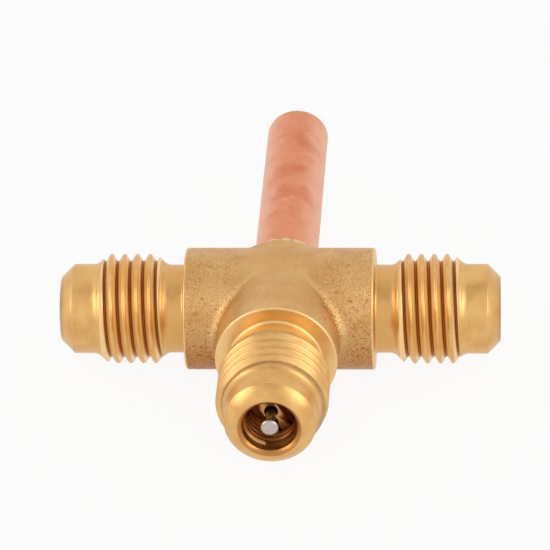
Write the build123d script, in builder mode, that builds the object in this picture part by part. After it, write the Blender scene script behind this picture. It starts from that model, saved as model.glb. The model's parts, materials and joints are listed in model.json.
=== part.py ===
"""Four-way refrigerant service valve, in millimetres, +Z up.

A one-piece forged brass body carries three alike 1/4 in SAE flare ports, to the left,
to the right and to the front, and a copper stub that is brazed into its back. Each port
holds a spring-closed valve core: a plug screwed into the mouth, a barrel hung in the plug
with a sealing ring round it, and a pin that carries a sealing cup at the barrel's inner end.

The valve lies flat on its arms. The origin is on that resting plane, under the middle of
the whole length. Lengths along a port or the stub are measured outwards from the crossing
of the port axes ("reach"), or inwards from the end of a port ("depth").
"""
import os
from math import atan2, cos, sin, tan

from build123d import *

os.makedirs("parts", exist_ok=True)

# --- forged body, arms measured from the crossing to the shoulder above the neck ---
side_arm_length = 9.4
front_arm_length = 9.8
arm_radius = 6.0
side_arm_rise = 0.05  # the side arms stand this much proud of the front arm
shoulder_rounding = 0.2
front_groin_fillet = 1.2  # where the front arm meets the side arms
back_groin_fillet = 2.0  # where the hub meets the side arms

# --- a port, from the shoulder outwards ---
neck_radius = 4.38
neck_length = 1.9
neck_fillet = 0.3

# --- male flare thread, 7/16-20 UNF, its ridges cut as separate rings ---
thread_radius = 5.45  # at the crests
thread_pitch = 1.27
thread_height = 0.72  # from the roots to the crests
thread_crest_width = 0.2
thread_root_width = 0.12
thread_grooves = 5
thread_length = 6.95
thread_run_in = 1.1  # length of the bevel at each end of the thread
thread_root_fillet = 0.6  # where the bevels run out on the neck and the nose
nose_radius = 4.45
nose_length = 2.3
flare_rise = 1.25  # the 45 degree flare cone runs in by this much from the nose

# --- back of the body, with the socket for the stub ---
hub_length = 3.25  # full-size stretch of the hub behind the crossing
hub_rounding = 0.6
back_land_rise = 0.25  # the flat face round the stub stands this far behind the side arms
back_land_radius = 3.9

# --- bore of a port ---
mouth_radius = 2.65
mouth_bevel = 0.47
mouth_depth = 1.25
core_thread_radius = 2.35  # crests of the inner thread
core_thread_length = 6.55
seat_land_radius = 2.3
seat_land_length = 0.5  # between the inner thread and the seat
seat_length = 1.8  # tapered seat of the barrel's sealing ring
passage_radius = 1.85

# --- copper stub, 1/4 in tube ---
tube_reach = 35.2  # to its open end
tube_radius = 3.175
tube_wall = 0.76
tube_end_rounding = 0.15
braze_gap = 0.03  # radial clearance of the stub in its socket
socket_floor_reach = 2.7  # to the step that the stub stands on
braze_width = 0.55  # leg of the braze fillet on the body's face
braze_height = 0.9  # leg of the braze fillet along the stub

# --- clearances inside a core ---
core_clearance = 0.03  # radial, between fixed pieces that fit in each other
face_clearance = 0.02  # between flat faces that bear on each other
pin_clearance = 0.02  # radial, between the pin and what is fixed on it

# --- core plug ---
crown_depth = 3.2  # mouth end of the plug's bridge
bridge_thickness = 1.8
bridge_width = 1.85
bridge_angle = -52.6  # turn of the bridge about the port's axis
skirt_radius = 1.45
pocket_lead = 1.6  # the pocket for the barrel's flange starts this far ahead of the seat
lip_length = 0.25
pin_hole_radius = 0.68

# --- core barrel ---
flange_radius = 1.9
flange_thickness = 0.6
barrel_length = 5.98  # with its flange
barrel_radius = 1.5
barrel_bore_radius = 1.15
barrel_groove_radius = 1.3  # seat of the sealing ring
barrel_end_wall = 0.6
barrel_end_hole_radius = 0.8

# --- pin with its sealing cup ---
pin_radius = 0.5
pin_head_radius = 0.87
pin_head_length = 0.9
pin_head_rounding = 0.15
pin_head_depth = 0.23  # the head's face, below the end of the port
collar_radius = 1.0
collar_length = 0.4
collar_drop = 0.48  # from the barrel's flange down to the collar
cup_radius = 1.45
cup_wall = 0.18
cup_floor = 0.4
cup_lip_drop = 0.15  # the cup's rim stays behind the face of its seal
cup_seal_thickness = 0.7
rivet_radius = 0.75  # tail of the pin, spread over the cup's floor
rivet_length = 0.3

# --- return spring ---
spring_wire_radius = 0.11
spring_radius = 0.94  # to the middle of the wire
spring_turns = 6

# --- shared frame ---
side_arm_radius = arm_radius + side_arm_rise
port_length = neck_length + thread_length + nose_length + flare_rise
crossing = Vector(0, (front_arm_length + port_length - tube_reach) / 2, side_arm_radius)
core_thread_start = mouth_depth + mouth_radius - core_thread_radius
core_thread_end = core_thread_start + core_thread_length
seat_top_depth = core_thread_end + seat_land_length
seat_bottom_depth = seat_top_depth + seat_length
up = Vector(0, 0, 1)


class Arm:
    """An arm that leaves the crossing, with the planes and outlines placed along it."""

    def __init__(self, direction, length, radius):
        self.direction = Vector(*direction)
        self.length = length
        self.radius = radius
        self.reach = length + port_length
        self.axis = Axis(crossing, self.direction)

    def face(self, reach):
        """The plane square to the axis at a reach, facing outwards, with its x level."""
        origin = crossing + self.direction * reach
        return Plane(origin=origin, x_dir=up.cross(self.direction), z_dir=self.direction)

    def half_plane(self):
        """The plane of a half-section: x is the reach along the axis, y the radius."""
        return Plane(origin=crossing, x_dir=self.direction, z_dir=self.direction.cross(up))

    def section(self, outline):
        """The half-section with a straight-sided outline of (reach, radius) corners."""
        with BuildSketch(self.half_plane()) as half:
            with BuildLine():
                Polyline(*outline, close=True)
            make_face()
        return half.sketch

    def by_depth(self, *corners):
        """The (reach, radius) corners for (depth, radius) corners of the port."""
        return [(self.reach - depth, radius) for depth, radius in corners]

    def rings(self, builder, reach, radius):
        """The circular edges round the axis at a reach and a radius."""
        centre = crossing + self.direction * reach
        circles = builder.edges().filter_by(GeomType.CIRCLE)
        return circles.filter_by(
            lambda edge: (edge.arc_center - centre).length < 0.01
            and abs(edge.radius - radius) < 0.01
        )


ports = {
    "front": Arm((0, -1, 0), front_arm_length, arm_radius),
    "left": Arm((-1, 0, 0), side_arm_length, side_arm_radius),
    "right": Arm((1, 0, 0), side_arm_length, side_arm_radius),
}
hub = Arm((0, 1, 0), hub_length, arm_radius)


def finish(builder, name):
    """Label a finished piece and write it to its file."""
    builder.part.label = name
    export_step(builder.part, f"parts/{name}.step")


# --- valve body ---
back_reach = side_arm_radius + back_land_rise
socket_radius = tube_radius + braze_gap

hub_slope = atan2(arm_radius - back_land_radius, back_reach - hub_length)
hub_tangent = hub_rounding * tan(hub_slope / 2)
arc_start = (hub_length - hub_tangent, arm_radius)
arc_end = (
    hub_length + hub_tangent * cos(hub_slope),
    arm_radius - hub_tangent * sin(hub_slope),
)


def port_outline(port):
    """The outside of a port, from the shoulder of its arm to its end."""
    thread_start = port.length + neck_length
    thread_end = thread_start + thread_length
    return [
        (port.length, 0),
        (port.length, neck_radius),
        (thread_start, neck_radius),
        (thread_start + thread_run_in, thread_radius),
        (thread_end - thread_run_in, thread_radius),
        (thread_end, nose_radius),
        (port.reach - flare_rise, nose_radius),
        (port.reach, nose_radius - flare_rise),
        (port.reach, 0),
    ]


def groove_outlines(port):
    """The grooves of a port's thread, spread from the middle of its length."""
    middle = port.length + neck_length + thread_length / 2
    root_side = thread_root_width / 2
    crest_side = (thread_pitch - thread_crest_width) / 2
    flank_run = (crest_side - root_side) / thread_height
    above = thread_crest_width / 4  # the cut starts this far above the crests
    top_side = crest_side + above * flank_run
    for place in range(thread_grooves):
        reach = middle + (place - (thread_grooves - 1) / 2) * thread_pitch
        yield [
            (reach - root_side, thread_radius - thread_height),
            (reach - top_side, thread_radius + above),
            (reach + top_side, thread_radius + above),
            (reach + root_side, thread_radius - thread_height),
        ]


def bore_outline(port):
    """The bore of a port, from the crossing to its mouth."""
    return [(0, 0), (0, passage_radius)] + port.by_depth(
        (seat_bottom_depth, passage_radius),
        (seat_top_depth, seat_land_radius),
        (core_thread_end, seat_land_radius),
        (core_thread_end, core_thread_radius),
        (core_thread_start, core_thread_radius),
        (mouth_depth, mouth_radius),
        (mouth_bevel, mouth_radius),
        (0, mouth_radius + mouth_bevel),
        (0, 0),
    )


with BuildPart() as valve_body:
    # the side arms are one bar, and the front arm runs through it into the hub
    with BuildSketch(ports["left"].face(side_arm_length)):
        Circle(side_arm_radius)
    extrude(amount=-2 * side_arm_length)
    with BuildSketch(hub.half_plane()):
        with BuildLine():
            Polyline((-front_arm_length, 0), (-front_arm_length, arm_radius), arc_start)
            TangentArc(arc_start, arc_end, tangent=(1, 0))
            Polyline(
                arc_end, (back_reach, back_land_radius), (back_reach, 0), (-front_arm_length, 0)
            )
        make_face()
    revolve(axis=hub.axis)
    groins = valve_body.edges().filter_by(GeomType.BSPLINE)
    back_groins = groins.filter_by_position(Axis.Y, crossing.Y, crossing.Y + back_reach)
    fillet(back_groins, back_groin_fillet)
    front_groin = valve_body.edges().filter_by(GeomType.BSPLINE).sort_by(Axis.Y)[0]
    fillet(front_groin, front_groin_fillet)

    for port in ports.values():
        fillet(port.rings(valve_body, port.length, port.radius), shoulder_rounding)
        revolve(port.section(port_outline(port)), axis=port.axis)
        fillet(port.rings(valve_body, port.length, neck_radius), neck_fillet)
        run_outs = port.rings(valve_body, port.length + neck_length, neck_radius)
        run_outs += port.rings(valve_body, port.reach - flare_rise - nose_length, nose_radius)
        fillet(run_outs, thread_root_fillet)
        for outline in groove_outlines(port):
            revolve(port.section(outline), axis=port.axis, mode=Mode.SUBTRACT)

    for port in ports.values():
        revolve(port.section(bore_outline(port)), axis=port.axis, mode=Mode.SUBTRACT)
    with BuildSketch(hub.face(back_reach)):
        Circle(socket_radius)
    extrude(amount=socket_floor_reach - back_reach, mode=Mode.SUBTRACT)
    with BuildSketch(hub.face(socket_floor_reach)):
        Circle(passage_radius)
    extrude(amount=-socket_floor_reach, mode=Mode.SUBTRACT)
finish(valve_body, "valve_body")


# --- copper stub and its braze ---
with BuildPart() as stub_tube:
    with BuildSketch(hub.face(socket_floor_reach)):
        Circle(tube_radius)
        Circle(tube_radius - tube_wall, mode=Mode.SUBTRACT)
    extrude(amount=tube_reach - socket_floor_reach)
    for radius in (tube_radius, tube_radius - tube_wall):
        fillet(hub.rings(stub_tube, tube_reach, radius), tube_end_rounding)
finish(stub_tube, "stub_tube")

with BuildPart() as braze_fillet:
    bead_outline = [
        (back_reach, tube_radius),
        (back_reach, tube_radius + braze_width),
        (back_reach + braze_height, tube_radius),
    ]
    revolve(hub.section(bead_outline), axis=hub.axis)
finish(braze_fillet, "braze_fillet")


# --- valve core, one in each port ---
plug_radius = core_thread_radius - core_clearance
skirt_depth = crown_depth + bridge_thickness
pocket_depth = seat_top_depth - pocket_lead
pocket_radius = flange_radius + core_clearance
flange_depth = pocket_depth + face_clearance
flange_end_depth = flange_depth + flange_thickness
lip_depth = flange_end_depth + face_clearance
plug_end_depth = lip_depth + lip_length
lip_radius = barrel_radius + core_clearance
barrel_end_depth = flange_depth + barrel_length
spring_floor_depth = barrel_end_depth - barrel_end_wall
collar_depth = flange_depth + collar_drop
cup_seal_depth = barrel_end_depth + face_clearance
cup_floor_depth = cup_seal_depth + cup_seal_thickness + face_clearance
cup_end_depth = cup_floor_depth + cup_floor


def seat_radius_at(depth):
    """The radius of the tapered seat in a port's bore."""
    share = (depth - seat_top_depth) / (seat_bottom_depth - seat_top_depth)
    return seat_land_radius + share * (passage_radius - seat_land_radius)


def make_core_plug(port):
    """The threaded plug: a skirt under a bridge that the pin passes through."""
    with BuildPart() as core_plug:
        skirt = port.by_depth(
            (skirt_depth, skirt_radius),
            (skirt_depth, plug_radius),
            (plug_end_depth, plug_radius),
            (plug_end_depth, lip_radius),
            (lip_depth, lip_radius),
            (lip_depth, pocket_radius),
            (pocket_depth, pocket_radius),
            (pocket_depth, skirt_radius),
        )
        revolve(port.section(skirt), axis=port.axis)
        with BuildSketch(port.face(port.reach - crown_depth)):
            Circle(plug_radius)
            Rectangle(2 * plug_radius, bridge_width, rotation=bridge_angle, mode=Mode.INTERSECT)
            Circle(pin_hole_radius, mode=Mode.SUBTRACT)
        extrude(amount=-bridge_thickness)
    return core_plug


def make_core_barrel(port):
    """The barrel, with the flange that hangs it in the plug and a groove for its ring."""
    with BuildPart() as core_barrel:
        wall = port.by_depth(
            (flange_depth, barrel_bore_radius),
            (flange_depth, flange_radius),
            (flange_end_depth, flange_radius),
            (flange_end_depth, barrel_radius),
            (seat_top_depth, barrel_radius),
            (seat_top_depth, barrel_groove_radius),
            (seat_bottom_depth, barrel_groove_radius),
            (seat_bottom_depth, barrel_radius),
            (barrel_end_depth, barrel_radius),
            (barrel_end_depth, barrel_end_hole_radius),
            (spring_floor_depth, barrel_end_hole_radius),
            (spring_floor_depth, barrel_bore_radius),
        )
        revolve(port.section(wall), axis=port.axis)
    return core_barrel


def make_barrel_seal(port):
    """The sealing ring round the barrel, pressed into the tapered seat."""
    top_depth = seat_top_depth + face_clearance
    bottom_depth = seat_bottom_depth - face_clearance
    inner_radius = barrel_groove_radius + core_clearance
    with BuildPart() as barrel_seal:
        ring = port.by_depth(
            (top_depth, inner_radius),
            (top_depth, seat_radius_at(top_depth) - core_clearance),
            (bottom_depth, seat_radius_at(bottom_depth) - core_clearance),
            (bottom_depth, inner_radius),
        )
        revolve(port.section(ring), axis=port.axis)
    return barrel_seal


def make_pin(port):
    """The pin: a head in the port's mouth, a collar under the spring and a riveted tail."""
    head_end_depth = pin_head_depth + pin_head_length
    with BuildPart() as pin:
        stem = port.by_depth(
            (pin_head_depth, 0),
            (pin_head_depth, pin_head_radius),
            (head_end_depth, pin_head_radius),
            (head_end_depth, pin_radius),
            (collar_depth, pin_radius),
            (collar_depth, collar_radius),
            (collar_depth + collar_length, collar_radius),
            (collar_depth + collar_length, pin_radius),
            (cup_end_depth + face_clearance, pin_radius),
            (cup_end_depth + face_clearance, rivet_radius),
            (cup_end_depth + rivet_length, rivet_radius),
            (cup_end_depth + rivet_length, 0),
        )
        revolve(port.section(stem), axis=port.axis)
        head_rim = port.rings(pin, port.reach - pin_head_depth, pin_head_radius)
        fillet(head_rim, pin_head_rounding)
    return pin


def make_seat_cup(port):
    """The metal cup that holds the rubber seal against the barrel's end."""
    rim_depth = cup_seal_depth + cup_lip_drop
    with BuildPart() as seat_cup:
        shell = port.by_depth(
            (rim_depth, cup_radius - cup_wall),
            (rim_depth, cup_radius),
            (cup_end_depth, cup_radius),
            (cup_end_depth, pin_radius + pin_clearance),
            (cup_floor_depth, pin_radius + pin_clearance),
            (cup_floor_depth, cup_radius - cup_wall),
        )
        revolve(port.section(shell), axis=port.axis)
    return seat_cup


def make_cup_seal(port):
    """The rubber washer in the cup that closes the barrel's end."""
    with BuildPart() as cup_seal:
        with BuildSketch(port.face(port.reach - cup_seal_depth)):
            Circle(cup_radius - cup_wall - pin_clearance)
            Circle(pin_radius + pin_clearance, mode=Mode.SUBTRACT)
        extrude(amount=-cup_seal_thickness)
    return cup_seal


def make_spring(port):
    """The helical spring between the pin's collar and the floor of the barrel."""
    end_space = spring_wire_radius + face_clearance
    start_reach = port.reach - spring_floor_depth + end_space
    length = spring_floor_depth - collar_depth - collar_length - 2 * end_space
    with BuildPart() as spring:
        with BuildLine() as coil:
            Helix(
                pitch=length / spring_turns,
                height=length,
                radius=spring_radius,
                center=crossing + port.direction * start_reach,
                direction=port.direction,
            )
        with BuildSketch(Plane(origin=coil.line @ 0, z_dir=coil.line % 0)):
            Circle(spring_wire_radius)
        sweep(path=coil.line, is_frenet=True)
    return spring


core_pieces = {
    "core_plug": make_core_plug,
    "core_barrel": make_core_barrel,
    "barrel_seal": make_barrel_seal,
    "pin": make_pin,
    "seat_cup": make_seat_cup,
    "cup_seal": make_cup_seal,
    "spring": make_spring,
}
for port_name, port in ports.items():
    for piece_name, make_piece in core_pieces.items():
        finish(make_piece(port), f"{port_name}_{piece_name}")
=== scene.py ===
"""Finished look of a four-way refrigerant service valve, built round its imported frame.

The frame holds the plain solids. This adds what a maker's finish adds: cut threads on the
flare ports and inside their mouths, the forged skin, turned faces, the drawn copper stub
with its braze, wound springs and plated pins, and a stage with soft lamps and a camera.
"""
import json
import math

import bmesh
import bpy
from bpy.props import FloatProperty, FloatVectorProperty, IntProperty, PointerProperty
from mathutils import Matrix, Vector, noise


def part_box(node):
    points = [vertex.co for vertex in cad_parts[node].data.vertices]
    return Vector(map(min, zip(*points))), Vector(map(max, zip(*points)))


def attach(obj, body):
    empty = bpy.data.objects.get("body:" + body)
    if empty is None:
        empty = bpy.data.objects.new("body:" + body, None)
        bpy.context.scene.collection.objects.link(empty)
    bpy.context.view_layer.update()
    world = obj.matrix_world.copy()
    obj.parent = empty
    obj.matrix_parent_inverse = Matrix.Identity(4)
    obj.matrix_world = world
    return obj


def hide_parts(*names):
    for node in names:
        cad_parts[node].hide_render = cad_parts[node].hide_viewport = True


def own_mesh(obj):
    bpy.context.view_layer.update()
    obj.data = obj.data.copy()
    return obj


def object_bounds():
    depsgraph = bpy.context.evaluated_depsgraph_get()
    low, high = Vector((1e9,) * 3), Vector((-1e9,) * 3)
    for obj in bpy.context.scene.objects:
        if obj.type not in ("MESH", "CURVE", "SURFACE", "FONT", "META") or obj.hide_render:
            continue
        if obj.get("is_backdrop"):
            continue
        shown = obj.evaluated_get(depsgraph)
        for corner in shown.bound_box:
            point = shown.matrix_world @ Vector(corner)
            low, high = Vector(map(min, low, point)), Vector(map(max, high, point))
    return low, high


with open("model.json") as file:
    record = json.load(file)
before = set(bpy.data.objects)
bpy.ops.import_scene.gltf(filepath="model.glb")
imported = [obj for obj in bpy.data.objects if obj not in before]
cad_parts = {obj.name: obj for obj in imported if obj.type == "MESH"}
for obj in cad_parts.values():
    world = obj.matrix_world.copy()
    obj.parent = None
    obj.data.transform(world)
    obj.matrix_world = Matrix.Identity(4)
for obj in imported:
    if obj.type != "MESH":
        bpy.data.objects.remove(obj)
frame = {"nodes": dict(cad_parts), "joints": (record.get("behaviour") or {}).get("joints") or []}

bl_info = {
    "name": "Service valve finish",
    "blender": (4, 5, 0),
    "version": (1, 0, 0),
    "location": "3D View > Sidebar > Valve",
    "description": "Threads, braze, springs, finishes and stage for a service valve",
    "category": "Object",
}

MM = 0.001
UP = Vector((0, 0, 1))
FULL_TURN = 2 * math.pi
WHITE = (1, 1, 1, 1)
SAME_PLACE = 0.001 * MM  # corners this near to each other are one
CREST_LAND = 0.06 * MM  # flat left on the crests of a thread, between its roundings
FRONT_ARM_REACH = 7 * MM  # from here outwards only the front arm lies ahead of the crossing

# Steps to a full turn
PORT_STEPS = 128
FLARE_STEPS = 72
FINE_STEPS = 48  # inner threads and pin crowns
COARSE_STEPS = 32  # springs and cutting sleeves
BEAD_STEPS = 220

# Numbers of a Mix node's sockets for colours, which share their names with others
MIX_LOW, MIX_HIGH, MIX_RESULT = 6, 7, 2


def display_colour(red, green, blue):
    """The linear colour of an 8-bit display colour."""

    def linear(level):
        level /= 255
        return level / 12.92 if level <= 0.04045 else ((level + 0.055) / 1.055) ** 2.4

    return tuple(linear(level) for level in (red, green, blue))


# --- sizes and colours ---
def size(name, description, default):
    """A length setting, given in millimetres."""
    return FloatProperty(
        name=name, description=description, default=default * MM, min=0, unit="LENGTH", precision=5
    )


def colour(name, description, *levels):
    """A colour setting, given as 8-bit display levels."""
    return FloatVectorProperty(
        name=name,
        description=description,
        default=display_colour(*levels),
        subtype="COLOR",
        min=0,
        max=1,
    )


def share(name, description, default):
    """A setting from 0 to 1."""
    return FloatProperty(
        name=name, description=description, default=default, min=0, max=1, subtype="FACTOR"
    )


def angle(name, description, degrees):
    """An angle setting, given in degrees."""
    return FloatProperty(
        name=name, description=description, default=math.radians(degrees), subtype="ANGLE"
    )


class PortSettings(bpy.types.PropertyGroup):
    shoulder_depth: size("Shoulder depth", "End of a port to the shoulder of its arm", 12.4)
    neck_radius: size("Neck radius", "Radius between the shoulder and the thread", 4.38)
    neck_fillet: size("Neck fillet", "Fillet between the shoulder and the neck", 0.32)
    neck_end_depth: size("Neck end", "Depth where the neck meets the thread", 10.5)
    thread_end_depth: size("Thread end", "Depth where the thread meets the nose", 3.55)
    run_in: size("Run-in", "Length of the bevel at each end of the thread", 1.1)
    nose_radius: size("Nose radius", "Radius ahead of the thread", 4.45)
    flare_rise: size("Flare", "How far the 45 degree flare cone runs in", 1.25)
    run_out: size("Run-out", "Width of the rounding where a thread's bevel ends", 0.36)
    broken_edge: size("Broken edge", "Width of the rounding on turned edges", 0.05)
    mouth_bevel: size("Mouth bevel", "Bevel of the mouth", 0.47)
    mouth_radius: size("Mouth radius", "Radius of the mouth", 2.65)
    mouth_depth: size("Mouth depth", "Depth of the mouth's straight wall", 1.25)
    land_radius: size("Land radius", "Radius between the inner thread and the seat", 2.3)
    land_depth: size("Land depth", "Depth where the inner thread ends", 8.1)
    seat_depth: size("Seat depth", "Depth where the tapered seat starts", 8.6)
    seat_end_depth: size("Seat end", "Depth where the tapered seat ends", 10.4)
    passage_radius: size("Passage radius", "Radius of the passage behind the seat", 1.85)


class ThreadSettings(bpy.types.PropertyGroup):
    pitch: size("Pitch", "Pitch of the flare thread", 1.27)
    crest: size("Crest", "Radius of the flare thread's crests", 5.45)
    root: size("Root", "Radius of the flare thread's roots", 4.72)
    turns: IntProperty(
        name="Turns", description="Turns of the flare thread's groove", default=6, min=1
    )
    front_crest_depth: size("Front crest", "Depth of the front thread's first full crest", 5.04)
    left_crest_depth: size("Left crest", "Depth of the left thread's first full crest", 5.04)
    right_crest_depth: size("Right crest", "Depth of the right thread's first full crest", 5.19)
    core_pitch: size("Core thread pitch", "Pitch of the thread inside a port", 0.7056)
    core_crest: size("Core thread crest", "Radius of the inner thread's crests", 2.35)
    core_root: size("Core thread root", "Radius of the inner thread's roots", 2.63)
    core_turns: IntProperty(
        name="Core thread turns", description="Turns of the inner thread's groove", default=7, min=1
    )
    sharp_angle: angle("Sharp angle", "Edges that turn by more than this stay sharp", 38)


class BrassSettings(bpy.types.PropertyGroup):
    forged: colour("Forged brass", "Main colour of the forged skin", 207, 157, 97)
    # Also painted shade: the forged skin is darkened towards its underside with this colour.
    forged_dark: colour("Forged brass, dark", "Colour in the pits of the skin", 166, 94, 29)
    # Also painted highlight: the groins and the sides of the front arm are made paler with this
    # colour.
    forged_pale: colour("Forged brass, pale", "Colour of the worn tops of the skin", 226, 188, 131)
    turned: colour("Turned brass", "Main colour of the turned faces", 230, 184, 117)
    # Painted shade: this colour darkens the roots of the flare threads.
    root: colour("Thread roots", "Colour in the roots of the flare threads", 164, 98, 52)
    # Painted light: this colour makes the thread flanks, the shoulder faces and the front port's
    # neck paler.
    cut: colour("Fresh cut brass", "Colour of thread flanks and shoulder faces", 246, 208, 146)
    # Painted shade: this colour darkens the bores and the mouths' bevels.
    bore: colour("Bore", "Colour of the inner threads", 178, 118, 62)
    # Also painted shade: the necks of the side ports are darkened with this colour.
    turned_dark: colour("Turned brass, dark", "Colour of the tool marks", 212, 159, 92)
    forged_roughness: share("Forged roughness", "Roughness of the forged skin", 0.42)
    turned_roughness: share("Turned roughness", "Roughness of the turned faces", 0.27)
    grain: size("Grain", "Size of the forged skin's grains", 0.22)


class CopperSettings(bpy.types.PropertyGroup):
    main: colour("Copper", "Main colour of the drawn tube", 226, 149, 110)
    dark: colour("Copper, dark", "Colour of the tarnished patches", 206, 118, 78)
    # Also painted light: the tube's sides are made paler with this colour.
    pale: colour("Copper, pale", "Colour of the bright sides", 238, 180, 148)
    speck: colour("Copper, specks", "Colour of the small dark specks", 142, 74, 58)
    roughness: share("Roughness", "Roughness of the drawn tube", 0.46)


class BrazeSettings(bpy.types.PropertyGroup):
    alloy: colour("Braze alloy", "Colour of the braze", 228, 200, 152)
    flux: colour("Burnt flux", "Colour of the flux left in the joint", 120, 84, 62)
    leg: size("Leg", "How far the bead stands out from the stub", 1.04)
    ripple: size("Ripple", "How far the bead's surface wanders", 0.17)
    ripple_size: size("Ripple size", "Size of the bead's lumps", 0.5)
    ripple_seed: IntProperty(
        name="Ripple seed", description="Another number makes another bead", default=3, min=1
    )


class CoreSettings(bpy.types.PropertyGroup):
    plated: colour("Plated steel", "Colour of the pins", 200, 188, 180)
    spring: colour("Spring steel", "Colour of the springs", 186, 186, 188)
    rubber: colour("Rubber", "Colour of the pin seals", 34, 34, 36)
    ptfe: colour("White seal", "Colour of the barrel seals", 236, 236, 230)
    wire_radius: size("Wire radius", "Radius of the springs' wire", 0.11)
    spring_turns: IntProperty(name="Spring turns", description="Turns of a spring", default=6)
    crown: size("Crown", "Height of the crown on a pin's head", 0.23)
    crown_radius: size("Crown radius", "Radius of the crown on a pin's head", 0.8)
    crown_sink: size("Crown sink", "How far the crown's rim lies below the head's face", 0.023)


class StageSettings(bpy.types.PropertyGroup):
    floor: colour("Floor", "Colour of the floor", 244, 243, 241)
    floor_glow: share("Floor glow", "How much of the white backdrop the floor shows", 0.92)
    lamp_power: FloatProperty(
        name="Lamp power", description="Power of each side lamp", default=0.5, min=0, unit="POWER"
    )
    lens: FloatProperty(
        name="Lens", description="Focal length in millimetres", default=294.2, min=1, unit="CAMERA"
    )
    distance: size("Camera distance", "Camera to the crossing of the ports", 447.2)
    elevation: angle("Elevation", "Camera above the horizon", 31.23)
    turn: angle("Turn", "Camera turned round the valve", 3.97)
    tilt: angle("Tilt", "Camera rolled about its line of sight", -2.02)
    aim_left: size("Aim left", "How far left of the crossing the camera aims", 0.614)
    aim_up: size("Aim up", "How far above the crossing the camera aims", 3.34)


SETTINGS = {
    "valve_port": PortSettings,
    "valve_thread": ThreadSettings,
    "valve_brass": BrassSettings,
    "valve_copper": CopperSettings,
    "valve_braze": BrazeSettings,
    "valve_core": CoreSettings,
    "valve_stage": StageSettings,
}


def settings(name):
    """The settings group of that name on the scene."""
    return getattr(bpy.context.scene, name)


# --- places, read from the frame ---
class Port:
    """A flare port, from the boxes of the frame's nodes."""

    def __init__(self, name, direction):
        self.name = name
        self.direction = Vector(direction)
        pin_low, pin_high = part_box(f"{name}_pin")
        body_low, body_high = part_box("valve_body")
        middle = (pin_low + pin_high) / 2
        face = body_high if sum(direction) > 0 else body_low
        self.end = middle + self.direction * (face - middle).dot(self.direction)

    def placement(self):
        """Lays a shape from local X, outwards and 0 at the port's end, onto this port."""
        across = UP.cross(self.direction)
        turned = Matrix((self.direction, across, UP)).transposed().to_4x4()
        return Matrix.Translation(self.end) @ turned

    def depth(self, point):
        """How far a point lies behind the port's end."""
        return (self.end - point).dot(self.direction)

    def radius(self, point):
        """How far a point lies from the port's axis."""
        from_end = point - self.end
        return (from_end - self.direction * from_end.dot(self.direction)).length


PORTS = [Port("front", (0, -1, 0)), Port("left", (-1, 0, 0)), Port("right", (1, 0, 0))]
CROSSING = Vector((PORTS[0].end.x, PORTS[1].end.y, PORTS[0].end.z))
FRONT_REACH = (PORTS[0].end - CROSSING).length
SIDE_REACH = (PORTS[1].end - CROSSING).length


def outwards(turn_angle, lift):
    """The direction at an angle round the valve from its front and a lift above the horizon."""
    level = math.cos(lift)
    return Vector(
        (math.sin(turn_angle) * level, -math.cos(turn_angle) * level, math.sin(lift))
    )


def darker(tint, part):
    """A colour at a part of its brightness."""
    return tuple(level * part for level in tint)


# --- meshes ---
def sweep(whole, steps):
    """The angles from 0 to a whole one in equal steps."""
    return [whole * step / steps for step in range(steps + 1)]


def merged_copy(node):
    """A bmesh copy of a frame node with its loose triangles joined up."""
    shape = bmesh.new()
    shape.from_mesh(frame["nodes"][node].data)
    bmesh.ops.remove_doubles(shape, verts=shape.verts, dist=SAME_PLACE)
    return shape


def smooth(mesh):
    """Smooth shading but for the sharp edges."""
    mesh.shade_smooth()
    mesh.set_sharp_from_angle(angle=settings("valve_thread").sharp_angle)


def finish_mesh(shape, name):
    """An object from a bmesh."""
    mesh = bpy.data.meshes.new(name)
    shape.to_mesh(mesh)
    shape.free()
    smooth(mesh)
    piece = bpy.data.objects.new(name, mesh)
    bpy.context.scene.collection.objects.link(piece)
    return piece


def flat_face(outline):
    """One face from (offset, radius) corners, in the plane of local X and Z."""
    shape = bmesh.new()
    shape.faces.new([shape.verts.new((offset, 0, radius)) for offset, radius in outline])
    return shape


def wind(profile, pitch, turns, steps):
    """Winds a face outwards round local X into a closed coil, with steps to a turn."""
    bmesh.ops.spin(
        profile,
        geom=profile.verts[:] + profile.edges[:] + profile.faces[:],
        axis=(1, 0, 0),
        dvec=(pitch / steps, 0, 0),
        angle=FULL_TURN * turns,
        steps=steps * turns,
    )
    bmesh.ops.recalc_face_normals(profile, faces=profile.faces)
    return profile


def turn(outline, steps):
    """A turned solid: a closed outline of (offset, radius) corners spun round local X."""
    solid = bmesh.new()
    corners = [solid.verts.new((offset, 0, radius)) for offset, radius in outline]
    for first, second in zip(corners, corners[1:] + corners[:1]):
        if first.co.z > 0 or second.co.z > 0:
            solid.edges.new((first, second))
    bmesh.ops.spin(
        solid,
        geom=solid.verts[:] + solid.edges[:],
        axis=(1, 0, 0),
        angle=FULL_TURN,
        steps=steps,
        use_merge=True,
    )
    bmesh.ops.remove_doubles(solid, verts=solid.verts, dist=SAME_PLACE)
    bmesh.ops.recalc_face_normals(solid, faces=solid.faces)
    return solid


def groove(pitch, crest, root, turns, steps):
    """The coil that is cut out to leave a thread, wound outwards from local X 0.

    Its outline is given as shares of its half width and of its depth from root to crest.
    The flanks are straight, and the crests are left rounded over.
    """
    shares = [
        (0.05, 0), (0.12, 0.05), (0.68, 0.8), (0.78, 0.89), (0.87, 0.955), (0.95, 0.99), (0.99, 1)
    ]
    half_width = pitch / 2 - CREST_LAND / 2
    side = [(half_width * width, root + (crest - root) * depth) for width, depth in shares]
    past_crest = math.copysign(0.35 * MM, crest - root)
    side.append((side[-1][0], crest + past_crest))
    outline = side + [(-offset, radius) for offset, radius in reversed(side)]
    return wind(flat_face(outline), pitch, turns, steps)


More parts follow.
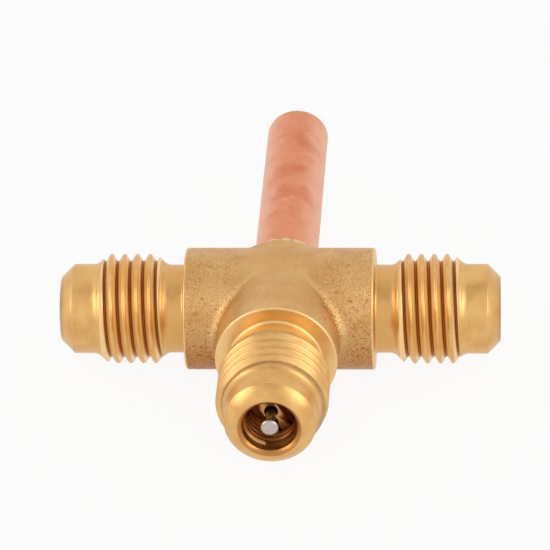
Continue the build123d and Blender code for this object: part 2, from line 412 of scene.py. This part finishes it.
def flare_groove(port):
    """The coil that is cut out of a port to leave its flare thread."""
    thread = settings("valve_thread")
    coil = groove(thread.pitch, thread.crest, thread.root, thread.turns, FLARE_STEPS)
    crest_depth = getattr(thread, f"{port.name}_crest_depth")
    turns_ahead = 1.5  # of the groove, ahead of the first full crest
    start = crest_depth + thread.pitch * (thread.turns - turns_ahead)
    coil.transform(Matrix.Translation((-start, 0, 0)))
    return coil


def core_groove():
    """The coil that is cut out of a port's mouth to leave its inner thread."""
    thread = settings("valve_thread")
    coil = groove(
        thread.core_pitch, thread.core_crest, thread.core_root, thread.core_turns, FINE_STEPS
    )
    lead_in = settings("valve_port").mouth_depth * 0.7
    start = thread.core_pitch * thread.core_turns + lead_in
    coil.transform(Matrix.Translation((-start, 0, 0)))
    return coil


def round_ring(solid, depth, radius, width, segments):
    """Rounds the ring of edges at a depth and a radius."""

    def on_ring(corner):
        beside = abs(corner.co.yz.length - radius) < SAME_PLACE
        return beside and abs(corner.co.x + depth) < SAME_PLACE

    ring = [edge for edge in solid.edges if all(on_ring(corner) for corner in edge.verts)]
    bmesh.ops.bevel(
        solid,
        geom=ring,
        offset=width,
        affect="EDGES",
        segments=segments,
        profile=0.5,
        material=-1,
    )


def turned_port(joint_depth):
    """A port's turned blank with its bore, and a spigot that sits in the body."""
    port = settings("valve_port")
    spigot_end = joint_depth + 0.2 * MM
    thread = settings("valve_thread")
    tip_radius = port.nose_radius - port.flare_rise
    foot = [
        (
            port.shoulder_depth - port.neck_fillet * (1 - math.cos(lift)),
            port.neck_radius + port.neck_fillet * (1 - math.sin(lift)),
        )
        for lift in sweep(math.pi / 2, steps=6)[1:]
    ]
    core_start = port.mouth_depth + port.mouth_radius - thread.core_crest
    outside = [
        (spigot_end, port.neck_radius + port.neck_fillet),
        (port.shoulder_depth, port.neck_radius + port.neck_fillet),
        *foot,
        (port.neck_end_depth, port.neck_radius),
        (port.neck_end_depth - port.run_in, thread.crest),
        (port.thread_end_depth + port.run_in, thread.crest),
        (port.thread_end_depth, port.nose_radius),
        (port.flare_rise, port.nose_radius),
        (0, tip_radius),
    ]
    bore = [
        (0, port.mouth_radius + port.mouth_bevel),
        (port.mouth_bevel, port.mouth_radius),
        (port.mouth_depth, port.mouth_radius),
        (core_start, thread.core_crest),
        (port.land_depth, thread.core_crest),
        (port.land_depth, port.land_radius),
        (port.seat_depth, port.land_radius),
        (port.seat_end_depth, port.passage_radius),
        (spigot_end, port.passage_radius),
    ]
    blank = turn([(-depth, radius) for depth, radius in outside + bore], PORT_STEPS)
    round_ring(blank, port.neck_end_depth, port.neck_radius, port.run_out, segments=4)
    round_ring(blank, port.thread_end_depth, port.nose_radius, port.run_out, segments=4)
    round_ring(blank, port.flare_rise, port.nose_radius, port.broken_edge, segments=2)
    round_ring(blank, port.mouth_bevel, port.mouth_radius, port.broken_edge, segments=2)
    return blank


def combine(piece, operation, tools):
    """Cuts the tools out of the piece, or joins them to it, for good, and deletes them."""
    for tool in tools:
        step = piece.modifiers.new(tool.name, "BOOLEAN")
        step.operation = operation
        step.solver = "MANIFOLD"
        step.object = tool
    bpy.context.view_layer.update()
    finished = piece.evaluated_get(bpy.context.evaluated_depsgraph_get())
    mesh = bpy.data.meshes.new_from_object(finished)
    piece.modifiers.clear()
    piece.data = mesh
    smooth(mesh)
    for tool in tools:
        bpy.data.objects.remove(tool)


def seat(piece, body, node, slot, *materials):
    """The piece stands for a frame node, rides on its body and takes its finish."""
    piece.data.materials.clear()
    for material in materials:
        piece.data.materials.append(material)
    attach(piece, body)
    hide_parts(node)
    return piece


# --- shader maths ---
class Value:
    """A shader socket; arithmetic on it adds Math nodes."""

    def __init__(self, nodes, socket):
        self.nodes = nodes
        self.socket = socket

    def output(self, name):
        """Another output of the same node."""
        return Value(self.nodes, self.socket.node.outputs[name])

    def math(self, operation, *others):
        """A Math node's operation on this value and others."""
        return self.nodes.math(operation, self, *others)

    def __add__(self, other):
        return self.math("ADD", other)

    def __sub__(self, other):
        return self.math("SUBTRACT", other)

    def __mul__(self, other):
        return self.math("MULTIPLY", other)

    def __rsub__(self, other):
        return self.nodes.math("SUBTRACT", other, self)

    __radd__ = __add__
    __rmul__ = __mul__

    def step(self, low, high):
        """0 below low, 1 above high, and smooth between."""
        return self.nodes.add(
            "ShaderNodeMapRange",
            {"interpolation_type": "SMOOTHSTEP"},
            output="Result",
            Value=self,
            From_Min=low,
            From_Max=high,
        )


class Nodes:
    """The nodes of a material or of the world."""

    def __init__(self, tree):
        self.tree = tree

    def fill(self, node, numbered=(), **named):
        """Gives a node the values or links of its sockets, by number or by name."""
        sockets = dict(numbered)
        sockets.update((name.replace("_", " "), value) for name, value in named.items())
        for key, value in sockets.items():
            if isinstance(value, Value):
                self.tree.links.new(value.socket, node.inputs[key])
            else:
                node.inputs[key].default_value = value

    def add(self, kind, setting=None, output=0, **sockets):
        """A node of a kind: its settings first, then the values or links of its sockets."""
        node = self.tree.nodes.new(kind)
        for name, value in (setting or {}).items():
            setattr(node, name, value)
        self.fill(node, **sockets)
        return Value(self, node.outputs[output])

    def math(self, operation, *values):
        """A Math node's operation on values or numbers."""
        return self.add("ShaderNodeMath", {"operation": operation}, numbered=enumerate(values))


class Finish(Nodes):
    """A material under construction, with its pattern in object coordinates."""

    def __init__(self, name, **constants):
        self.material = bpy.data.materials.new(name)
        self.material.use_nodes = True
        super().__init__(self.material.node_tree)
        self.shader = self.tree.nodes["Principled BSDF"]
        self.feed(**constants)
        self.place = self.add("ShaderNodeTexCoord", output="Object")

    def feed(self, **sockets):
        """Gives the shader the values or links of its sockets."""
        self.fill(self.shader, **sockets)

    def stretched(self, *factors):
        """Object coordinates, multiplied along x, y and z."""
        return self.add(
            "ShaderNodeVectorMath",
            {"operation": "MULTIPLY"},
            numbered=enumerate((self.place, factors)),
        )

    def parts(self):
        """The x, y and z of a point, as values."""
        point = self.add("ShaderNodeSeparateXYZ", Vector=self.place)
        return [point.output(axis) for axis in "XYZ"]

    def noise(self, grain, where=None, detail=2.0, roughness=0.5):
        """Soft noise whose lumps are about grain wide."""
        return self.add(
            "ShaderNodeTexNoise",
            output="Fac",
            Vector=where or self.place,
            Scale=1 / grain,
            Detail=detail,
            Roughness=roughness,
        )

    def mix(self, mask, low, high):
        """A colour between two, by a mask."""
        low, high = (tint if isinstance(tint, Value) else (*tint, 1) for tint in (low, high))
        return self.add(
            "ShaderNodeMix",
            {"data_type": "RGBA"},
            output=MIX_RESULT,
            numbered={0: mask, MIX_LOW: low, MIX_HIGH: high},
        )

    def bump(self, height, distance):
        """Feeds a height, from 0 to 1, to the shader's normal."""
        self.feed(
            Normal=self.add(
                "ShaderNodeBump", output="Normal", Height=height, Distance=distance, Strength=1.0
            )
        )


def forged_brass():
    """The granular skin of the forging, smoother along the front arm."""
    brass = settings("valve_brass")
    finish = Finish("forged_brass", Metallic=1.0)
    x, y, z = finish.parts()
    across = x.math("ABSOLUTE")
    coarse = across.step(2.2 * MM, 5.2 * MM) * 0.75 + 0.25
    grains = finish.noise(brass.grain, detail=3.0, roughness=0.6)
    fine = finish.noise(brass.grain * 0.45, detail=1.0)
    patches = finish.noise(2.4 * MM, detail=3.0)
    pits = 1 - finish.noise(0.55 * MM, detail=1.5).step(0.30, 0.36)
    # Painted shade: the forged skin darkens towards its underside, less along the front arm and
    # towards the right arm.
    front_arm = (CROSSING.y - y - across).step(0, 0.8 * MM)
    painted_underside_shade = (1 - z.step(2 * MM, 9.5 * MM)) * (1 - front_arm * 0.75)
    painted_underside_shade *= 1 - x.step(-3 * MM, 8 * MM) * 0.3
    # Painted highlight: a pale line along each groin where the arms meet, which is also made
    # glossier.
    groin_highlight = (across + y - CROSSING.y).math("ABSOLUTE")
    groin_highlight = (1 - groin_highlight.step(0.15 * MM, 0.75 * MM)) * across.step(1.6 * MM, 2.4 * MM)
    worn = (grains * 0.6 + fine * 0.4).step(0.5, 0.64) * coarse
    dark = (1 - grains.step(0.34, 0.48)) * coarse
    # Painted light: the sides of the front arm, ahead of the crossing, are made paler.
    ahead = 1 - y.step(CROSSING.y - FRONT_ARM_REACH, CROSSING.y - 5.6 * MM)
    painted_side_light = across.step(3.2 * MM, 5.4 * MM) * ahead
    tone = finish.mix(patches.step(0.3, 0.75) * 0.55, brass.forged, brass.forged_pale)
    # Pale: real wear on the tops of the grains, with the painted highlights on the groins and on
    # the front arm's sides.
    pale = (worn * 0.7 + groin_highlight * 0.3 + painted_side_light * 0.9).math("MINIMUM", 1.0)
    tone = finish.mix(pale, tone, brass.forged_pale)
    # Dark grains and pits, which are real, with the painted shade towards the underside.
    pits_and_painted_shade = dark * (0.3 + painted_underside_shade * 0.6) + painted_underside_shade * 0.66 + pits * coarse * 0.3
    tone = finish.mix(pits_and_painted_shade, tone, brass.forged_dark)
    roughness = brass.forged_roughness + worn * -0.14 + dark * 0.1 + groin_highlight * -0.07
    finish.feed(Base_Color=tone, Roughness=roughness)
    height = (grains * 0.7 + fine * 0.3) * coarse - pits * 0.4 * coarse
    finish.bump(height, 0.11 * MM)
    return finish.material


def port_zones(x, y, z, front):
    """Masks over the ports for painted shade and light: thread roots, flanks and shoulder faces,
    necks and bores.
    """
    port = settings("valve_port")
    thread = settings("valve_thread")
    side = 1 - front
    height = z - CROSSING.z
    away = (y - CROSSING.y) * side + x * front
    radius = (height * height + away * away).math("SQRT")
    reach = (x * side + (y - CROSSING.y) * front).math("ABSOLUTE")
    depth = front * FRONT_REACH + side * SIDE_REACH - reach

    into_bevel = port.run_in * 0.35
    start = port.thread_end_depth + into_bevel
    end = port.neck_end_depth - into_bevel
    soft = 0.2 * MM
    along = depth.step(start, start + soft) * (1 - depth.step(end - soft, end))
    # Painted shade: the roots of the flare threads are darkened.
    roots = along * (1 - radius.step(thread.root + 0.05 * MM, thread.root + 0.27 * MM))
    # Painted light: the thread flanks, the shoulder faces and the front port's neck are made paler,
    # as if lit more.
    flanks = along * (1 - radius.step(thread.crest - 0.26 * MM, thread.crest - 0.1 * MM))
    shoulder = depth.step(port.shoulder_depth - 0.1 * MM, port.shoulder_depth - 0.03 * MM)
    cut = flanks * (1 - front * 0.85) + shoulder * (0.5 + front * 0.15)
    neck = depth.step(port.neck_end_depth - soft, port.neck_end_depth + soft) * (1 - shoulder)

    # Painted shade: the bore past the mouth's wall and the mouth's bevel are darkened.
    outside = radius.step(port.mouth_radius + 0.5 * MM, port.mouth_radius + 0.7 * MM)
    inner = depth.step(port.mouth_depth + 0.05 * MM, port.mouth_depth + 0.4 * MM)
    rim = port.mouth_radius + port.mouth_bevel
    bevel = 1 - depth.step(port.mouth_bevel * 0.7, port.mouth_bevel + 0.15 * MM)
    bevel *= 1 - radius.step(rim - 0.08 * MM, rim)
    bore = (inner * (1 - outside)).math("MAXIMUM", bevel * 0.85)
    return roots * outside, cut * outside, neck * outside, bore


def turned_brass():
    """Bright turned faces, with tool marks round each port's axis."""
    brass = settings("valve_brass")
    finish = Finish("turned_brass", Metallic=1.0)
    x, y, z = finish.parts()
    front = 1 - y.step(CROSSING.y - FRONT_ARM_REACH, CROSSING.y - 6.5 * MM)
    along = y * front + x * (1 - front)
    across = x * front + y * (1 - front)
    marks = finish.add("ShaderNodeCombineXYZ", X=along * 14, Y=across * 0.8, Z=z * 0.8)
    lines = finish.noise(1 * MM, where=marks, detail=3.0, roughness=0.65)
    patches = finish.noise(1.8 * MM, detail=3.0)
    tone = finish.mix(patches.step(0.3, 0.7), brass.turned_dark, brass.turned)
    tone = finish.mix(lines.step(0.35, 0.6) * 0.5, tone, brass.turned)
    roots, cut, neck, bore = port_zones(x, y, z, front)
    # Painted shade: the necks of the side ports are darkened.
    tone = finish.mix(neck * (1 - front) * 0.5, tone, brass.turned_dark)
    # Painted light: paler flanks, shoulder faces and front neck.
    tone = finish.mix(cut + neck * front * 0.75, tone, brass.cut)
    # Painted shade in the thread roots.
    tone = finish.mix(roots, tone, brass.root)
    # Painted shade in the bores and on the mouths' bevels.
    tone = finish.mix(bore, tone, brass.bore)
    roughness = brass.turned_roughness + patches.step(0.3, 0.7) * 0.1 + lines * 0.06
    finish.feed(Base_Color=tone, Roughness=roughness)
    finish.bump(lines, 0.012 * MM)
    return finish.material


def drawn_copper():
    """Matte drawn tube, with tarnished patches, scratches round it and painted light on its sides.
    """
    copper = settings("valve_copper")
    finish = Finish("drawn_copper", Metallic=1.0)
    across = finish.parts()[0].math("ABSOLUTE")
    uneven = (finish.noise(3 * MM) - 0.5) * 2 * MM
    # Painted light: the tube's sides, left and right, are made paler.
    sides = (across + uneven).step(0.6 * MM, 3.2 * MM)
    patches = finish.noise(5 * MM)
    mottle = finish.noise(1.4 * MM, detail=3.0, roughness=0.6)
    around = finish.stretched(0.8, 3.4, 0.8)
    scratches = finish.noise(1.1 * MM, where=around, detail=5.0, roughness=0.7)
    specks = 1 - finish.noise(0.5 * MM).step(0.27, 0.33)
    tone = finish.mix(sides, copper.main, copper.pale)
    tarnish = patches.step(0.45, 0.7) * (1 - sides) * 0.7
    tone = finish.mix(tarnish, tone, copper.dark)
    streaks = (1 - scratches.step(0.32, 0.48)) * (1 - sides * 0.6)
    dull = streaks * (0.35 + tarnish * 0.4) + mottle.step(0.5, 0.75) * 0.2
    tone = finish.mix(dull, tone, copper.dark)
    tone = finish.mix((1 - mottle.step(0.25, 0.45)) * 0.4, tone, copper.pale)
    tone = finish.mix(specks * 0.22, tone, copper.speck)
    finish.feed(Base_Color=tone, Roughness=copper.roughness + mottle * 0.1 - 0.05)
    finish.bump(scratches * 0.7 + mottle * 0.3, 0.02 * MM)
    return finish.material


def braze_alloy():
    """Pale rough braze, with burnt flux in its low places."""
    braze = settings("valve_braze")
    finish = Finish("braze_alloy", Metallic=1.0)
    lumps = finish.noise(0.5 * MM, detail=3.0, roughness=0.6)
    flux = 1 - lumps.step(0.34, 0.46)
    finish.feed(
        Base_Color=finish.mix(flux * 0.8, braze.alloy, braze.flux),
        Roughness=0.4 + lumps * 0.2,
    )
    finish.bump(lumps, 0.08 * MM)
    return finish.material


def plain_metal(name, tint, roughness, grain):
    """A small metal part: slight mottling and a fine satin grain."""
    finish = Finish(name, Metallic=1.0)
    mottle = finish.noise(grain, detail=3.0, roughness=0.6)
    finish.feed(
        Base_Color=finish.mix(mottle.step(0.3, 0.7), darker(tint, 0.8), tint),
        Roughness=roughness + mottle * 0.12,
    )
    finish.bump(mottle, 0.006 * MM)
    return finish.material


def soft_seal(name, tint, roughness):
    """A moulded seal with a faint mottle."""
    finish = Finish(name, Metallic=0.0)
    mottle = finish.noise(0.4 * MM, detail=3.0)
    finish.feed(
        Base_Color=finish.mix(mottle.step(0.3, 0.7), darker(tint, 0.75), tint),
        Roughness=roughness + mottle * 0.1,
    )
    finish.bump(mottle, 0.01 * MM)
    return finish.material


# --- operators, one for each piece or group of like pieces ---
class VALVE_OT_cut_body(bpy.types.Operator):
    """Cut the threads into the body and give it its forged and turned skins"""

    bl_idname = "valve.cut_body"
    bl_label = "Body"

    def execute(self, context):
        joint_depth = settings("valve_port").shoulder_depth - 0.02 * MM
        piece = finish_mesh(merged_copy("valve_body"), "forged_body")
        trims, ports = [], []
        for port in PORTS:
            trims.append(self.trim(port, joint_depth))
            blank = finish_mesh(turned_port(joint_depth), f"{port.name}_port")
            coils = [flare_groove(port), core_groove()]
            tools = [finish_mesh(coil, f"{port.name}_coil") for coil in coils]
            combine(blank, "DIFFERENCE", tools)
            blank.data.transform(port.placement())
            ports.append(blank)
        combine(piece, "DIFFERENCE", trims)
        combine(piece, "UNION", ports)
        seat(piece, "valve", "valve_body", "forged_brass", forged_brass(), turned_brass())
        self.share_skins(piece)
        return {"FINISHED"}

    def trim(self, port, joint_depth):
        """A sleeve that clears the plain port away, down to the joint with its turned one."""
        ahead = 1 * MM
        around = 7 * MM
        outline = [(ahead, 0), (ahead, around), (-joint_depth, around), (-joint_depth, 0)]
        sleeve = turn(outline, COARSE_STEPS)
        sleeve.transform(port.placement())
        return finish_mesh(sleeve, f"{port.name}_trim")

    def share_skins(self, piece):
        """Gives the ports and the bores the turned skin, and leaves the rest forged."""
        turned_depth = settings("valve_port").shoulder_depth + 0.22 * MM
        bored_radius = settings("valve_port").mouth_radius + 0.15 * MM
        for face in piece.data.polygons:
            turned = any(
                port.depth(face.center) < turned_depth or port.radius(face.center) < bored_radius
                for port in PORTS
            )
            face.material_index = int(turned)


class VALVE_OT_draw_stub(bpy.types.Operator):
    """Give the copper stub its drawn skin"""

    bl_idname = "valve.draw_stub"
    bl_label = "Copper stub"

    def execute(self, context):
        piece = finish_mesh(merged_copy("stub_tube"), "copper_stub")
        seat(piece, "valve", "stub_tube", "copper", drawn_copper())
        return {"FINISHED"}


class VALVE_OT_run_braze(bpy.types.Operator):
    """Run an uneven bead of braze round the root of the stub"""

    bl_idname = "valve.run_braze"
    bl_label = "Braze"

    def execute(self, context):
        braze = settings("valve_braze")
        low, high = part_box("braze_fillet")
        tube_low, tube_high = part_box("stub_tube")
        tube = (tube_high.x - tube_low.x) / 2
        leg = braze.leg
        sunk = 0.12 * MM
        # The bead's face, in legs along the stub and out from it
        face = [(-0.12, 0.84), (0.1, 1.0), (0.4, 0.96), (0.75, 0.55), (1.1, 0.2)]
        outline = [
            (-sunk, tube - sunk),
            *((leg * along, tube + leg * out) for along, out in face),
            (leg * 1.35, tube - sunk),
        ]
        bead = turn(outline, BEAD_STEPS)
        noise.seed_set(braze.ripple_seed)
        for corner in bead.verts:
            wander = noise.noise_vector(corner.co / braze.ripple_size)
            corner.co += wander * braze.ripple
        quarter = Matrix.Rotation(math.pi / 2, 4, "Z")
        middle = Vector(((low.x + high.x) / 2, low.y, (low.z + high.z) / 2))
        bead.transform(Matrix.Translation(middle) @ quarter)
        piece = finish_mesh(bead, "braze_bead")
        seat(piece, "valve", "braze_fillet", "braze_alloy", braze_alloy())
        return {"FINISHED"}


class VALVE_OT_dress_cores(bpy.types.Operator):
    """Finish the plug, barrel, seals, pin and cup of the three valve cores"""

    bl_idname = "valve.dress_cores"
    bl_label = "Valve cores"

    def execute(self, context):
        core = settings("valve_core")
        brass = settings("valve_brass")
        core_brass = plain_metal("core_brass", brass.turned_dark, 0.24, 0.5 * MM)
        plated = plain_metal("plated_steel", core.plated, 0.2, 0.4 * MM)
        rubber = soft_seal("black_rubber", core.rubber, 0.55)
        ptfe = soft_seal("white_ptfe", core.ptfe, 0.4)
        finishes = {
            "core_plug": ("turned_brass", core_brass),
            "core_barrel": ("turned_brass", core_brass),
            "barrel_seal": ("white_ptfe", ptfe),
            "pin": ("pin_steel", plated),
            "seat_cup": ("pin_steel", plated),
            "cup_seal": ("black_rubber", rubber),
        }
        for port in PORTS:
            for part, (slot, material) in finishes.items():
                node = f"{port.name}_{part}"
                on_pin = part in ("pin", "seat_cup", "cup_seal")
                body = f"{port.name}_pin_group" if on_pin else "valve"
                piece = finish_mesh(merged_copy(node), f"{node}_finished")
                if part == "pin":
                    combine(piece, "UNION", [self.crown(port)])
                seat(piece, body, node, slot, material)
        return {"FINISHED"}

    def crown(self, port):
        """The crowned face of a pin's head: a slice of a ball, with its foot in the head."""
        core = settings("valve_core")
        low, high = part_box(f"{port.name}_pin")
        face_depth = min(port.depth(low), port.depth(high))
        ball = (core.crown_radius**2 + core.crown**2) / (2 * core.crown)
        rim_angle = math.asin(core.crown_radius / ball)
        top = core.crown - core.crown_sink
        outline = [
            (top - ball * (1 - math.cos(lift)), ball * math.sin(lift))
            for lift in sweep(rim_angle, steps=8)
        ]
        outline += [(-core.crown, core.crown_radius), (-core.crown, 0)]
        crown = turn(outline, FINE_STEPS)
        crown.transform(port.placement() @ Matrix.Translation((-face_depth, 0, 0)))
        return finish_mesh(crown, f"{port.name}_crown")


class VALVE_OT_wind_springs(bpy.types.Operator):
    """Wind the three return springs"""

    bl_idname = "valve.wind_springs"
    bl_label = "Springs"

    def execute(self, context):
        core = settings("valve_core")
        steel = plain_metal("spring_steel", core.spring, 0.25, 0.3 * MM)
        joints = {joint["child"]: joint for joint in frame["joints"]}
        for port in PORTS:
            node = f"{port.name}_spring"
            low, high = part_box(node)
            extent = high - low
            length = abs(extent.dot(port.direction))
            floor = (low + high) / 2 - port.direction * length / 2
            coil = self.coil(length, extent.z / 2)
            coil.transform(port.placement() @ Matrix.Translation((-port.depth(floor), 0, 0)))
            piece = finish_mesh(coil, f"{node}_wound")
            seat(piece, "valve", node, "spring_steel", steel)
            joint = joints[f"{port.name}_pin_group"]
            travel = joint["range_m"][1]
            (length - travel) / length
            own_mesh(piece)
        return {"FINISHED"}

    def coil(self, length, outer_radius):
        """A wound wire of a length and an outer radius, from local X 0 outwards."""
        core = settings("valve_core")
        wire = bmesh.new()
        bmesh.ops.create_circle(wire, cap_ends=True, segments=10, radius=core.wire_radius)
        upright = Matrix.Rotation(math.pi / 2, 4, "X")
        start = Matrix.Translation((core.wire_radius, 0, outer_radius - core.wire_radius))
        wire.transform(start @ upright)
        pitch = (length - 2 * core.wire_radius) / core.spring_turns
        return wind(wire, pitch, core.spring_turns, COARSE_STEPS)


class VALVE_OT_set_stage(bpy.types.Operator):
    """Lay the floor, hang the lamps and set the camera"""

    bl_idname = "valve.set_stage"
    bl_label = "Stage"

    # What gloss shows of the white surroundings has one dimmer patch, in front and overhead.
    gap_lift = math.radians(78)
    gap_edge = 0.62  # radians from the patch's middle
    gap_core = 0.2
    gap_share = 0.28

    floor_size = 3
    soft_light = 0.55
    lamp_lift = math.radians(28)
    lamp_distance = 0.5
    lamp_size = (0.2, 0.34)

    def execute(self, context):
        self.lay_floor()
        self.light_world()
        self.hang_lamp("left_lamp", -68)
        self.hang_lamp("right_lamp", 64)
        self.set_camera()
        context.scene.view_settings.view_transform = "Standard"
        return {"FINISHED"}

    def show_white(self, nodes, plain, white, glow, glossy_glow):
        """Mixes a white glow into a shader for camera, glossy and transmission rays."""
        camera = nodes.add("ShaderNodeLightPath", output="Is Camera Ray")
        glossy = camera.output("Is Glossy Ray")
        through = camera.output("Is Transmission Ray")
        seen = (camera + through).math("MINIMUM", 1.0) * glow + glossy * glossy_glow
        return nodes.add("ShaderNodeMixShader", numbered=enumerate((seen, plain, white)))

    def lay_floor(self):
        stage = settings("valve_stage")
        shape = bmesh.new()
        bmesh.ops.create_grid(shape, x_segments=1, y_segments=1, size=self.floor_size)
        floor = finish_mesh(shape, "stage_floor")
        finish = Finish("floor", Roughness=0.7)
        mottle = finish.noise(200 * MM, detail=1.0)
        finish.feed(Base_Color=finish.mix(mottle, darker(stage.floor, 0.98), stage.floor))
        plain = Value(finish, finish.shader.outputs["BSDF"])
        glow = finish.add("ShaderNodeEmission", Color=WHITE, Strength=1.0)
        surface = self.show_white(finish, plain, glow, stage.floor_glow, stage.floor_glow)
        finish.fill(finish.tree.nodes["Material Output"], Surface=surface)
        floor.data.materials.append(finish.material)
        floor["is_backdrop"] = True

    def light_world(self):
        world = bpy.data.worlds.new("studio")
        world.use_nodes = True
        bpy.context.scene.world = world
        nodes = Nodes(world.node_tree)
        background = nodes.tree.nodes["Background"]
        nodes.fill(background, Color=WHITE, Strength=self.soft_light)
        where = nodes.add("ShaderNodeTexCoord", output="Generated")
        facing = nodes.add(
            "ShaderNodeVectorMath",
            {"operation": "DOT_PRODUCT"},
            output="Value",
            numbered=enumerate((where, outwards(0, self.gap_lift))),
        )
        gap = facing.step(math.cos(self.gap_edge), math.cos(self.gap_core))
        glossy = nodes.add("ShaderNodeLightPath", output="Is Glossy Ray")
        level = 1 - gap * glossy * self.gap_share
        white = nodes.add("ShaderNodeBackground", Color=WHITE, Strength=level)
        soft = Value(nodes, background.outputs["Background"])
        surface = self.show_white(nodes, soft, white, 1.0, 1.0)
        nodes.fill(nodes.tree.nodes["World Output"], Surface=surface)

    def hang_lamp(self, name, azimuth):
        """An area lamp, at degrees round the valve from its front, aimed at the valve."""
        lamp = bpy.data.lights.new(name, "AREA")
        lamp.shape = "RECTANGLE"
        lamp.size, lamp.size_y = self.lamp_size
        lamp.energy = settings("valve_stage").lamp_power
        holder = bpy.data.objects.new(name, lamp)
        bpy.context.scene.collection.objects.link(holder)
        out = outwards(math.radians(azimuth), self.lamp_lift)
        holder.location = CROSSING + out * self.lamp_distance
        holder.rotation_euler = out.to_track_quat("Z", "Y").to_euler()

    def set_camera(self):
        stage = settings("valve_stage")
        back = outwards(stage.turn, stage.elevation)
        level_right = Vector((math.cos(stage.turn), math.sin(stage.turn), 0))
        right = Matrix.Rotation(stage.tilt, 3, back) @ level_right
        upward = back.cross(right)
        place = CROSSING + back * stage.distance
        target = CROSSING - right * stage.aim_left + upward * stage.aim_up
        back = (place - target).normalized()
        upward = (upward - back * upward.dot(back)).normalized()
        right = upward.cross(back)
        camera = bpy.data.cameras.new("camera")
        camera.lens = stage.lens
        camera.clip_start, camera.clip_end = 0.01, 10
        holder = bpy.data.objects.new("camera", camera)
        bpy.context.scene.collection.objects.link(holder)
        holder.location = place
        holder.rotation_euler = Matrix((right, upward, back)).transposed().to_euler()
        bpy.context.scene.camera = holder


OPERATORS = [
    VALVE_OT_cut_body,
    VALVE_OT_draw_stub,
    VALVE_OT_run_braze,
    VALVE_OT_dress_cores,
    VALVE_OT_wind_springs,
    VALVE_OT_set_stage,
]


class VALVE_PT_finish(bpy.types.Panel):
    """Lists the pieces and their settings"""

    bl_idname = "VALVE_PT_finish"
    bl_label = "Service valve"
    bl_space_type = "VIEW_3D"
    bl_region_type = "UI"
    bl_category = "Valve"

    def draw(self, context):
        for operator in OPERATORS:
            self.layout.operator(operator.bl_idname)
        for name, group in SETTINGS.items():
            box = self.layout.box()
            for field in group.__annotations__:
                box.prop(getattr(context.scene, name), field)


def register():
    for kind in [*SETTINGS.values(), *OPERATORS, VALVE_PT_finish]:
        bpy.utils.register_class(kind)
    for name, group in SETTINGS.items():
        setattr(bpy.types.Scene, name, PointerProperty(type=group))


def unregister():
    for name in SETTINGS:
        delattr(bpy.types.Scene, name)
    for kind in reversed([*SETTINGS.values(), *OPERATORS, VALVE_PT_finish]):
        bpy.utils.unregister_class(kind)


def corners(box):
    """A box's two corners as plain lists."""
    return [list(corner) for corner in box]


def main():
    """Makes every piece and the stage."""
    plain_box = corners(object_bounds())
    register()
    for operator in OPERATORS:
        category, name = operator.bl_idname.split(".")
        getattr(getattr(bpy.ops, category), name)()
    {"cad": plain_box, "visual": corners(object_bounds())}


if __name__ == "__main__":
    main()
